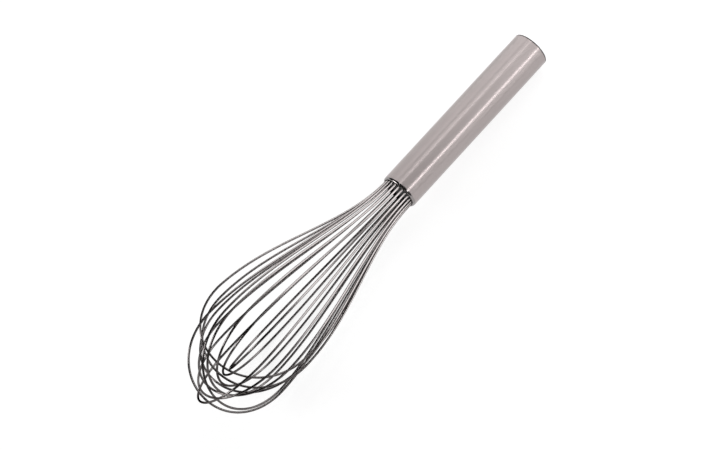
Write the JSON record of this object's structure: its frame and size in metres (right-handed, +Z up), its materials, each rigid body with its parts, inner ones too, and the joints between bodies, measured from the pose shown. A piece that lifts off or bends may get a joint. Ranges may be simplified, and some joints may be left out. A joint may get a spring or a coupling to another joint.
{
  "type": "whisk",
  "caption": "Balloon whisk: a cage of nested steel wire loops set in a plain tubular steel handle, for beating and whipping by hand.",
  "frame": {"origin": "on the table, under the middle of the whisk as it lies", "axes": "+X from the handle's butt to the tip of the loops, +Z up from the table"},
  "size_m": [0.2818, 0.0644, 0.063],
  "materials": {
    "handle_steel": "stainless tube brushed round its girth, polished at the rounded ends",
    "wire_steel": "bright drawn stainless spring wire",
    "core_nylon": "black moulded nylon",
    "seal_resin": "dark cast resin"
  },
  "bodies": {
    "root": {"handle_tube": "handle_steel", "end_cap": "handle_steel", "wire_core": "core_nylon", "resin_seal": "seal_resin", "wire_loop_01": "wire_steel", "wire_loop_02": "wire_steel", "wire_loop_03": "wire_steel", "wire_loop_04": "wire_steel", "wire_loop_05": "wire_steel", "wire_loop_06": "wire_steel", "wire_loop_07": "wire_steel", "wire_loop_08": "wire_steel", "wire_loop_09": "wire_steel", "wire_loop_10": "wire_steel", "wire_loop_11": "wire_steel", "wire_loop_12": "wire_steel"}
  },
  "joints": []
}
